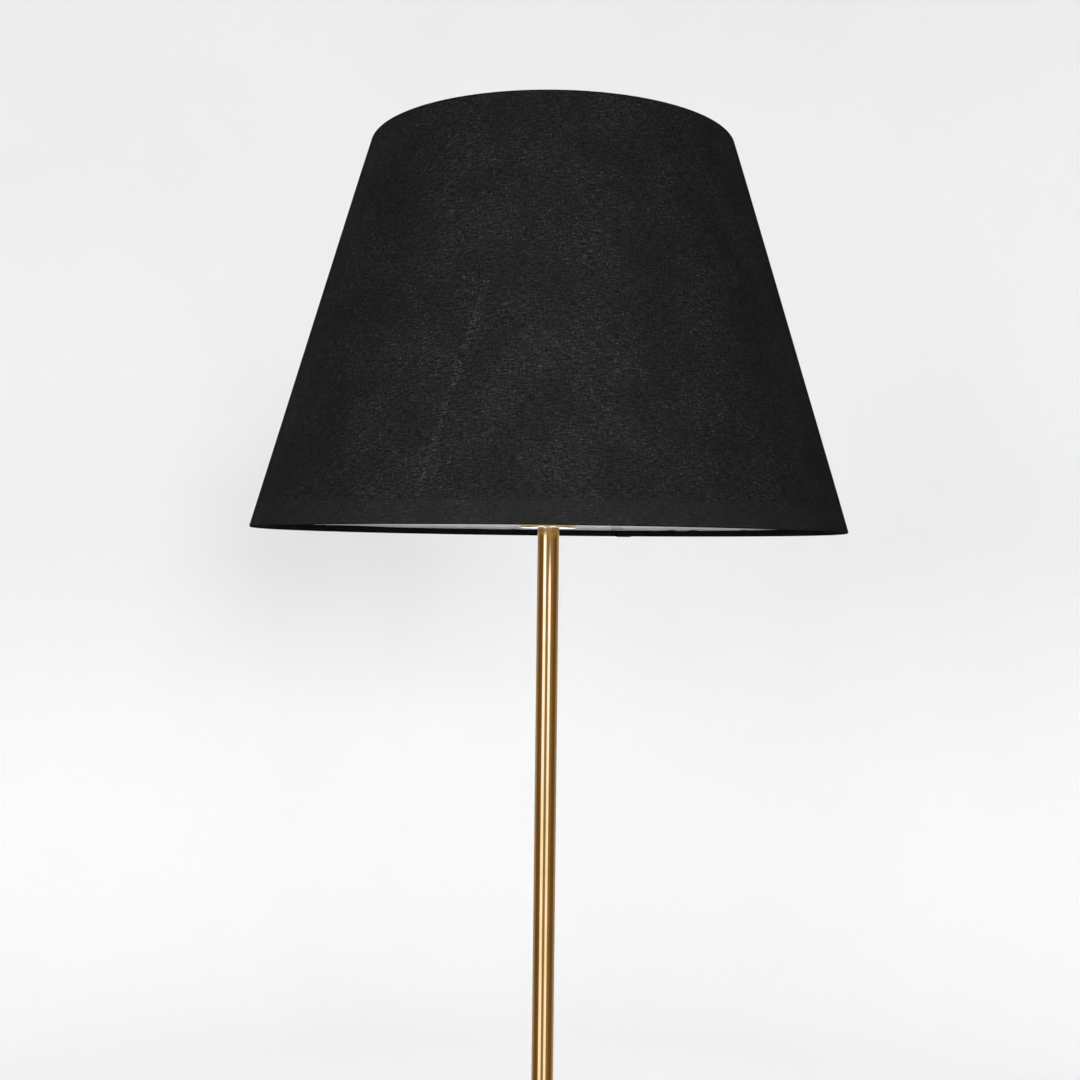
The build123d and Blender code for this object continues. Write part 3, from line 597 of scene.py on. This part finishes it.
# How far the cloth waves off its lining, how often round and up it, and the share held flat at each hem.
CLOTH_WAVE = 0.35 * MM
WAVES_ROUND = 2.2
WAVES_UP = 1.3
HELD_SHARE = 0.12


def cone_point(angle, r, z):
    """Point at a radius and a height, at an angle from the front that grows to the lamp's right."""
    return Vector((r * math.sin(angle), -r * math.cos(angle), z))


def depth_radius(depth, z):
    """Radius at a depth below the cone's outer face."""
    return shade_radius(z) - depth / SHADE_COS


def angle_gap(a, b):
    """Smallest difference between two angles."""
    return abs((a - b + math.pi) % TURN - math.pi)


def fold(low_side, hem):
    """Middle line of one hem, as (depth, rise from the shade's edge), in the order that leads upwards."""
    half = COVER_T / 2
    back = HEM_BACK_DEPTH - half
    inner, outer = HEM_FOLD_R - half, FOLD_R - half
    line = [(back, hem), (back, (hem + HEM_FOLD_R) / 2)]
    line += arc((back - inner, half + inner), inner, 0, -90, 5)
    line += [((back - inner + half + outer) / 2, half)]
    line += arc((half + outer, half + outer), outer, -90, -180, 4)
    return line if low_side else line[::-1]


def cover_line(angle):
    """Middle line of the cloth at one angle, as (radius, height), from its lower free end to the upper."""
    low_hem = HEM_HEIGHT + hem_wobble(angle, LOW_HEM_SEED)
    high_hem = HEM_HEIGHT + hem_wobble(angle, HIGH_HEM_SEED)
    gap = min(angle_gap(angle, arm) for arm in ARM_ANGLES) * SHADE_TOP_R
    # The notch is whole up to 0.6 times ARM_NOTCH from the arm's middle, and has run out at 1.6 times.
    cut = smooth_step(1.6 - gap / ARM_NOTCH)
    high_hem += cut * (ARM_NOTCH_TOP + HEM_FOLD_R - high_hem)
    points = [(d, SHADE_LOW + h) for d, h in fold(True, low_hem)]
    start, end = SHADE_LOW + FOLD_R, SHADE_HIGH - FOLD_R
    points += [(COVER_T / 2, start + (end - start) * i / FACE_ROWS) for i in range(1, FACE_ROWS)]
    points += [(d, SHADE_HIGH - h) for d, h in fold(False, high_hem)]
    return [(depth_radius(d, z) + cloth_wave(angle, z), z) for d, z in points]


def hem_wobble(angle, seed):
    """Unevenness of a hem's glued edge, with a few small lumps."""
    place = Vector((math.cos(angle), math.sin(angle), seed))
    slow = noise.noise(place * HEM_WAVES) * HEM_WAVE
    lumps = max(0.0, noise.noise(place * HEM_LUMPS) - LUMP_LIMIT) * HEM_LUMP
    return slow + lumps


def cloth_wave(angle, z):
    """How far the cloth stands off its lining, which is nothing at the hems."""
    share = (z - SHADE_LOW) / (SHADE_HIGH - SHADE_LOW)
    free = smooth_step(min(share, 1 - share) / HELD_SHARE)
    place = Vector((WAVES_ROUND * math.cos(angle), WAVES_ROUND * math.sin(angle), WAVES_UP * share))
    return free * CLOTH_WAVE * max(0.0, 0.5 + noise.noise(place))


def lap_rise(angle):
    """Extra thickness of the outer face over the lap seam, up to the folded edge at the seam's angle."""
    before = (SEAM_ANGLE - angle) % TURN * (SHADE_BOTTOM_R + SHADE_TOP_R) / 2
    return LAP_RISE * smooth_step((LAP + LAP_EDGE - before) / LAP_EDGE)


def column_angles():
    """Angles of the cloth's columns, from one edge of the cut to the other, closer at the seam and arms."""
    first = SEAM_ANGLE - TURN
    angles = [first + TURN * i / COLUMNS for i in range(1, COLUMNS)]
    fine = FINE_STEP / SHADE_TOP_R
    arms = [(arm - first) % TURN + first for arm in ARM_ANGLES]
    for centre in (first, SEAM_ANGLE, *arms):
        steps = ARM_STEPS if centre in arms else SEAM_STEPS
        angles += [centre + i * fine for i in range(-steps, steps + 1)]
    kept = [first + fine / 2]
    for angle in sorted(a for a in angles if first + fine < a < SEAM_ANGLE - fine / 2):
        if angle - kept[-1] > fine / 2:
            kept.append(angle)
    return [*kept, SEAM_ANGLE]


def offset_loop(line, angle):
    """Closed outline of the cloth's section: its outer side, and back along its inner side."""
    outer, inner = [], []
    rise = lap_rise(angle)
    for i, (r, z) in enumerate(line):
        before, after = line[max(i - 1, 0)], line[min(i + 1, len(line) - 1)]
        dr, dz = after[0] - before[0], after[1] - before[1]
        length = math.hypot(dr, dz)
        nr, nz = dz / length, -dr / length
        outer.append((r + nr * (COVER_T / 2 + rise), z + nz * (COVER_T / 2 + rise)))
        inner.append((r - nr * COVER_T / 2, z - nz * COVER_T / 2))
    return outer + inner[::-1]


def along_cloth(line):
    """Distance from the cone's apex, measured along the cloth from its outer face round each fold."""
    distances = [0.0]
    for (r0, z0), (r1, z1) in zip(line, line[1:]):
        distances.append(distances[-1] - math.hypot(r1 - r0, z1 - z0))
    middle_row = len(line) // 2
    shift = line[middle_row][0] / CONE_FACTOR - distances[middle_row]
    return [d + shift for d in distances]


def fabric_cover():
    """The shade's cloth: a thin closed shell, folded round both rings, with UVs that are its flat pattern."""
    bm = bmesh.new()
    uv_layer = bm.loops.layers.uv.new("flat")
    angles = column_angles()
    lines = [cover_line(angle) for angle in angles]
    rings = [[cone_point(a, r, z) for r, z in offset_loop(line, a)] for a, line in zip(angles, lines)]
    outer_side = [along_cloth(line) for line in lines]
    slants = [slant + slant[::-1] for slant in outer_side]
    verts = join_rings(bm, rings, closed=True)
    lookup = {v: (i, j) for i, column in enumerate(verts) for j, v in enumerate(column)}
    last = len(angles) - 1
    for face in bm.faces:
        columns = {lookup[loop.vert][0] for loop in face.loops}
        crosses_seam = columns == {0, last}
        for loop in face.loops:
            i, j = lookup[loop.vert]
            angle = angles[i] + TURN if crosses_seam and i == 0 else angles[i]
            loop[uv_layer].uv = flat_point(angle, slants[i][j])
    cover = finish_mesh("fabric_cover", bm)
    cover.data.materials.append(shade_fabric())
    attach(cover, "shade")
    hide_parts("shade_cover")
    # Hidden from reflections, so that the top of the stem mirrors the panels and not the black hem.
    cover.visible_glossy = False


# ---------------------------------------------------------------- the other built pieces

LINER_BACK_DEPTH = 1.65 * MM
STRIP_T = 0.3 * MM
STRIP_WIDTH = 11.0 * MM
STRIP_GAP = 0.02 * MM
STRIP_ROWS = 24
STRIP_COLUMNS = 8


def lining_seam():
    """Overlap strip of the lining, a thin band on its inner face at the back."""
    bm = bmesh.new()
    half_angle = STRIP_WIDTH / 2 / SHADE_BOTTOM_R
    low, high = SHADE_LOW + HEM_HEIGHT + MM, SHADE_HIGH - HEM_HEIGHT - MM
    shares = [2 * j / STRIP_COLUMNS - 1 for j in range(STRIP_COLUMNS + 1)]
    rings = []
    for i in range(STRIP_ROWS + 1):
        z = low + (high - low) * i / STRIP_ROWS
        near = depth_radius(LINER_BACK_DEPTH + STRIP_GAP, z)
        far = depth_radius(LINER_BACK_DEPTH + STRIP_T, z)
        widen = SHADE_BOTTOM_R / near
        angles = [SEAM_ANGLE + half_angle * widen * share for share in shares]
        rings.append([cone_point(a, near, z) for a in angles] + [cone_point(a, far, z) for a in angles[::-1]])
    verts = join_rings(bm, rings, closed=False)
    bm.faces.new(verts[0])
    bm.faces.new(verts[-1])
    strip = finish_mesh("lining_seam", bm)
    strip.data.materials.append(bpy.data.materials["shade_lining"])
    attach(strip, "shade")


THREAD_PITCH = 3.62 * MM
CAP_THREAD_DEPTH = 1.0 * MM
SHELL_THREAD_DEPTH = 0.5 * MM
CAP_SHOULDER = 2.3 * MM
SHELL_T = 0.4 * MM
SHELL_HOLE_R = 6.0 * MM
THREAD_ROWS = 72
THREAD_COLUMNS = 96


def thread_wave(angle, z, start, end):
    """Height from 0 to 1 of a rolled thread, which runs out at both ends."""
    crest = 0.5 + 0.5 * math.cos(TURN * z / THREAD_PITCH - angle)
    run_out = smooth_step((z - start) / THREAD_PITCH) * smooth_step((end - z) / THREAD_PITCH)
    return crest * run_out


def bulb_cap():
    """Rolled screw cap of the bulb."""
    low, high = (corner.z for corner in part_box("bulb_screw_cap"))
    tip_r, crest_r = reach("bulb_tip"), reach("bulb_screw_cap")
    root_r = crest_r - CAP_THREAD_DEPTH
    shoulder = low + CAP_SHOULDER
    heights = [shoulder + (high - shoulder) * i / THREAD_ROWS for i in range(THREAD_ROWS + 1)]
    side = [(root_r, z) for z in heights]
    profile = [(0, low), (tip_r, low), *side, (0, high)]

    def shape(angle, r, z):
        rise = CAP_THREAD_DEPTH * thread_wave(angle, z, shoulder, high) if r == root_r else 0
        return (r + rise, z)

    cap = lathe("bulb_cap", profile, THREAD_COLUMNS, shape)
    cap.data.materials.append(bulb_metal())
    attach(cap, "bulb")
    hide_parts("bulb_screw_cap")


def holder_thread():
    """Threaded shell of the lampholder, rolled from thin sheet, with a hole in its floor for the contact."""
    low, high = (corner.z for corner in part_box("holder_screw_shell"))
    outer_r = reach("holder_screw_shell")
    floor = low + SHELL_T
    heights = [floor + (high - floor) * i / THREAD_ROWS for i in range(THREAD_ROWS + 1)]
    inside = [(outer_r - SHELL_T, z) for z in heights]
    outside = [(outer_r, z) for z in reversed(heights)]
    profile = [(SHELL_HOLE_R, low), (SHELL_HOLE_R, floor), *inside, *outside, (outer_r, low)]

    def shape(angle, r, z):
        if r < outer_r - 1.5 * SHELL_T or z <= low:
            return (r, z)
        return (r - SHELL_THREAD_DEPTH * (1 - thread_wave(angle, z, low, high)), z)

    shell = lathe("holder_thread", profile, THREAD_COLUMNS, shape)
    shell.data.materials.append(bpy.data.materials["zinc_steel"])
    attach(shell, "stand")
    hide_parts("holder_screw_shell")


LEG_TOP_R = 6.5 * MM
LEG_END_R = 5.0 * MM
LEG_END_GAP = 14.0 * MM
FERRULE_T = 5.0 * MM
FOOT_R = 8.5 * MM
FOOT_GRIP = 18.0 * MM
FOOT_TAPER = 0.6 * MM
FOOT_LIP = 1.2 * MM
FOOT_PLAY = 0.05 * MM
FOOT_RIBS = 4
RIB_DEPTH = 0.7 * MM
RIBS_LOW = 9.0 * MM
RIBS_HIGH = 25.0 * MM
RIBS_MARGIN = 2.0 * MM
STEPS_PER_RIB = 12
FOOT_COLUMNS = 72


def foot_ribs():
    """The ribbed stretch of a foot's outline, with a groove between neighbouring ribs."""
    points = []
    steps = STEPS_PER_RIB * FOOT_RIBS
    for i in range(steps + 1):
        share = i / steps
        groove = RIB_DEPTH * (0.5 - 0.5 * math.cos(TURN * FOOT_RIBS * share)) ** 2
        points.append((FOOT_R - FOOT_TAPER * share - groove, RIBS_LOW + (RIBS_HIGH - RIBS_LOW) * share))
    return points


def foot_outline():
    """Closed outline of a foot and its bore, as (radius, distance up the leg's axis from the floor)."""
    top, bore_floor = LEG_END_GAP + FOOT_GRIP, LEG_END_GAP
    leg_length = LEG_SEAT_Z / math.cos(LEG_SPLAY)
    taper = (LEG_TOP_R - LEG_END_R) / (leg_length - LEG_END_GAP - FERRULE_T)
    grip_r = LEG_END_R + taper * FOOT_GRIP
    lip_r = grip_r + FOOT_LIP
    outline = [(0, -2 * FOOT_R), (FOOT_R, -2 * FOOT_R), (FOOT_R, RIBS_LOW - RIBS_MARGIN), *foot_ribs()]
    # The shoulder over the ribs, and the lip's edge, rounded off in two steps.
    outline += [(FOOT_R - 1.5 * FOOT_TAPER, RIBS_HIGH + RIBS_MARGIN), (lip_r + 0.4 * MM, top - 1.4 * MM)]
    outline += [(lip_r + 0.2 * MM, top - 0.4 * MM), (lip_r - 0.2 * MM, top)]
    outline += [(grip_r + FOOT_PLAY, top), (LEG_END_R + FOOT_PLAY, bore_floor), (0, bore_floor)]
    return outline


def rubber_foot(name, rubber):
    """Ribbed rubber tip on a leg's end, cut flat on the floor."""
    azimuth = LEG_AZIMUTHS[name]
    foot = lathe(f"rubber_foot_{name}", foot_outline(), FOOT_COLUMNS)
    floor_point = Vector((LEG_FLOOR_R * math.cos(azimuth), LEG_FLOOR_R * math.sin(azimuth), 0))
    lean = Matrix.Rotation(azimuth, 4, "Z") @ Matrix.Rotation(-LEG_SPLAY, 4, "Y")
    foot.data.transform(Matrix.Translation(floor_point) @ lean)
    bm = bmesh.new()
    bm.from_mesh(foot.data)
    parts = bm.verts[:] + bm.edges[:] + bm.faces[:]
    cut = bmesh.ops.bisect_plane(bm, geom=parts, plane_co=(0, 0, 0), plane_no=(0, 0, 1), clear_inner=True)
    rim = [e for e in cut["geom_cut"] if isinstance(e, bmesh.types.BMEdge)]
    bmesh.ops.contextual_create(bm, geom=rim)
    bmesh.ops.recalc_face_normals(bm, faces=bm.faces)
    bm.to_mesh(foot.data)
    bm.free()
    foot.data.materials.append(rubber)
    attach(foot, "stand")
    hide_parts(f"foot_{name}")


# ---------------------------------------------------------------- materials of the CAD nodes


def dress_nodes():
    """Gives every CAD node that stays its detailed material."""
    stem, base = stem_brass(), base_brass()
    harp, holder, inner = harp_brass(), holder_brass(), inner_brass()
    wire, zinc, black = shade_wire(), zinc_steel(), moulded_black()
    wear = {
        stem: ["stem_upper_tube", "stem_lower_tube"],
        disc_brass(): ["stem_cap_disc"],
        base: ["stem_joint_ring", "hub", "leg_ferrules"],
        harp: ["finial", "harp", "harp_stud", "harp_saddle", "harp_sleeve_left", "harp_sleeve_right"],
        holder: ["holder_cap", "holder_shell", "switch_bushing"],
        inner: ["holder_contact", "stem_joint_nipple", "stem_joint_upper_plug", "stem_joint_lower_plug",
                "stem_top_plug", "stem_top_nipple", "stem_base_plug", "base_nipple"],
        wire: ["shade_top_ring", "shade_bottom_ring", "shade_washer", "shade_arms"],
        zinc: ["switch_shaft", "hub_grub_screw", "base_washer", "base_nut", "leg_studs"],
        black: ["holder_body", "switch_key", "bulb_tip", "cord_outlet"],
        shade_lining(): ["shade_liner"],
        insulator(): ["holder_insulator"],
        cord_sheath(): ["inner_lead"],
        core_insulation(): ["lead_cores"],
        bulb_shell(): ["bulb_body"],
        bulb_opal(): ["bulb_globe"],
    }
    for name in LEG_AZIMUTHS:
        wear[leg_brass(name)] = [f"leg_{name}"]
    for material, nodes in wear.items():
        for node in nodes:
            for material_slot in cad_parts[node].material_slots:
                material_slot.material = material


# ---------------------------------------------------------------- stage and light

FLOOR_R = 2.5
SWEEP_R = 1.1
WALL_HIGH = 4.6
BACKDROP_COLUMNS = 128

# Painted shading of the backdrop: the floor is painted darker under the lamp, and the wall darker higher up,
# to keep both just below white under the lights.
SHADED_FLOOR_GREY = (0.70, 0.70, 0.695)
LOW_WHITE = ((0.945, 0.945, 0.945), (0.96, 0.96, 0.957))
SHADED_HIGH_WHITE = ((0.83, 0.83, 0.83), (0.85, 0.85, 0.848))


def backdrop_paint():
    """Matt white paint, a little uneven, with painted shading: darker on the floor under the lamp and higher
    up the wall.
    """
    m = Material("backdrop", LOW_WHITE[0], 0.9, Specular_IOR_Level=0.1)
    grain = m.span(m.noise(m.place(), 1.3, detail=3.0), 0.3, 0.7)
    radius, height = m.radius_and_height()
    # Painted shading: darker higher up the wall and on the floor under the lamp.
    white = m.blend(m.span(height, 0.2, 1.5), m.blend(grain, *LOW_WHITE), m.blend(grain, *SHADED_HIGH_WHITE))
    m.set("Base Color", m.blend(m.span(radius, 1.0, 2.0), SHADED_FLOOR_GREY, white))
    return m.data


def plain_backdrop():
    """Pale floor that sweeps up into a round wall, so that every view has it behind the lamp."""
    outline = [(FLOOR_R / 2, 0), *arc((FLOOR_R, SWEEP_R), SWEEP_R, -90, 0, 20)]
    outline += [(FLOOR_R + SWEEP_R, WALL_HIGH)]
    bm = bmesh.new()
    angles = [TURN * i / BACKDROP_COLUMNS for i in range(BACKDROP_COLUMNS)]
    rings = [[cone_point(angle, r, z) for angle in angles] for r, z in outline]
    verts = join_rings(bm, rings, closed=False)
    bm.faces.new(verts[0])
    backdrop = finish_mesh("backdrop", bm)
    backdrop.data.materials.append(backdrop_paint())


REFLECTOR_R = 1.3
REFLECTOR_LOW = 0.02
REFLECTOR_HIGH = 2.6
REFLECTOR_ROWS = 86
REFLECTOR_COLUMNS = 240

# What polished metal mirrors: the room in front, at the sides and behind, and the panels low and high up.
ROOM_FRONT = Vector((0.29, 0.225, 0.145))
ROOM_SIDE = Vector((0.145, 0.085, 0.036))
ROOM_BACK = Vector((0.42, 0.38, 0.33))
PANEL_LOW = Vector((1.25, 1.24, 1.40))
PANEL_HIGH = Vector((1.6, 1.66, 2.4))

# Degrees from the front over which the room turns from its front to its side, and from its side to its back.
TURNS_TO_SIDE = (35.0, 75.0)
TURNS_TO_BACK = (92.0, 136.0)

# The panels turn from their low colour to their high one over this rise, mostly near its upper end.
RISE_FROM = 0.2
RISE_LENGTH = 0.95
RISE_POWER = 4

# Panels: direction from the front and half width in degrees, and the height at which they have narrowed away.
OPEN_TOP = 9.0
PANELS = ((-34.0, 14.0, OPEN_TOP), (19.5, 12.0, 1.252), (180.0, 13.0, OPEN_TOP))
PANEL_TAPER = 0.08
PANEL_EDGE = 8.0


def room_glow(degrees):
    """Colour of the room, at an angle away from the front."""
    side, back = (smooth_step((degrees - a) / (b - a)) for a, b in (TURNS_TO_SIDE, TURNS_TO_BACK))
    return ROOM_FRONT.lerp(ROOM_SIDE, side).lerp(ROOM_BACK, back)


def glow(angle, z):
    """Colour that polished metal mirrors, at an angle from the front and a height."""
    colour = room_glow(abs(math.degrees(angle)))
    rise = min(1.0, max(0.0, (z - RISE_FROM) / RISE_LENGTH)) ** RISE_POWER
    panel = PANEL_LOW.lerp(PANEL_HIGH, rise)
    for centre, half, top in PANELS:
        gap = math.degrees(angle_gap(angle, math.radians(centre)))
        taper = smooth_step((top - z) / PANEL_TAPER)
        inside = smooth_step((half * taper - gap) / PANEL_EDGE + 0.5) * smooth_step(5 * taper)
        colour = colour.lerp(panel, inside)
    return colour


def glow_light():
    """Emission in the colours stored on the reflector's points."""
    material = bpy.data.materials.new("reflector")
    material.use_nodes = True
    tree = material.node_tree
    tree.nodes.clear()
    colour = tree.nodes.new("ShaderNodeAttribute")
    colour.attribute_name = "glow"
    light = tree.nodes.new("ShaderNodeEmission")
    output = tree.nodes.new("ShaderNodeOutputMaterial")
    tree.links.new(colour.outputs["Color"], light.inputs["Color"])
    tree.links.new(light.outputs[0], output.inputs["Surface"])
    return material


def reflector():
    """Ring of soft panels round the lamp, which only its glossy surfaces see."""
    bm = bmesh.new()
    layer = bm.verts.layers.float_color.new("glow")
    angles = [TURN * i / REFLECTOR_COLUMNS - math.pi for i in range(REFLECTOR_COLUMNS)]
    step = (REFLECTOR_HIGH - REFLECTOR_LOW) / REFLECTOR_ROWS
    heights = [REFLECTOR_LOW + step * j for j in range(REFLECTOR_ROWS + 1)]
    rings = [[cone_point(angle, REFLECTOR_R, z) for angle in angles] for z in heights]
    for z, ring in zip(heights, join_rings(bm, rings, closed=False)):
        for angle, vert in zip(angles, ring):
            vert[layer] = (*glow(angle, z), 1.0)
    mesh = bpy.data.meshes.new("reflector")
    bm.to_mesh(mesh)
    bm.free()
    mesh.materials.append(glow_light())
    panels = mesh_object("reflector", mesh)
    panels.visible_camera = False
    panels.visible_diffuse = False
    panels.visible_transmission = False
    panels.visible_volume_scatter = False
    panels.visible_shadow = False


def soft_light(name, place, target, size, power, spread=180):
    """Square area light aimed at a point, hidden from camera and reflections. Its spread is in degrees."""
    data = bpy.data.lights.new(name, "AREA")
    data.size = size
    data.energy = power
    data.spread = math.radians(spread)
    light = bpy.data.objects.new(name, data)
    bpy.context.scene.collection.objects.link(light)
    light.location = place
    light.rotation_euler = (Vector(target) - Vector(place)).to_track_quat("-Z", "Y").to_euler()
    light.visible_camera = False
    light.visible_glossy = False


ROOM_LIGHT = (0.97, 0.98, 1.0, 1.0)
ROOM_STRENGTH = 0.41

# A little below the middle of the shade.
SHADE_AIM = (0, 0, 1.35)


def light_room():
    """Even light that falls in through the open top of the backdrop."""
    world = bpy.data.worlds.new("studio")
    bpy.context.scene.world = world
    world.use_nodes = True
    background = world.node_tree.nodes["Background"]
    background.inputs["Color"].default_value = ROOM_LIGHT
    background.inputs["Strength"].default_value = ROOM_STRENGTH


def light_studio():
    """Lights in front, on the right for the shadow on the wall, behind and overhead."""
    light_room()
    soft_light("key", place=(-0.32, -1.35, 1.52), target=SHADE_AIM, size=0.6, power=20)
    soft_light("near", place=(-0.05, -0.62, 1.28), target=(0, 0, 1.28), size=0.06, power=2.6)
    soft_light("right", place=(0.48, -2.6, 1.45), target=(0, 0, 1.38), size=0.35, power=49)
    soft_light("back", place=(-0.25, 1.05, 1.45), target=SHADE_AIM, size=0.3, power=3.4, spread=60)
    soft_light("overhead", place=(0, 0, 4.4), target=(0, 0, 0), size=6.0, power=64)


# ---------------------------------------------------------------- build

bpy.context.scene.view_settings.view_transform = "Standard"
make_camera()
plain_backdrop()
reflector()
light_studio()
dress_nodes()
fabric_cover()
lining_seam()
bulb_cap()
holder_thread()
rubber = foot_rubber()
for leg_name in LEG_AZIMUTHS:
    rubber_foot(leg_name, rubber)
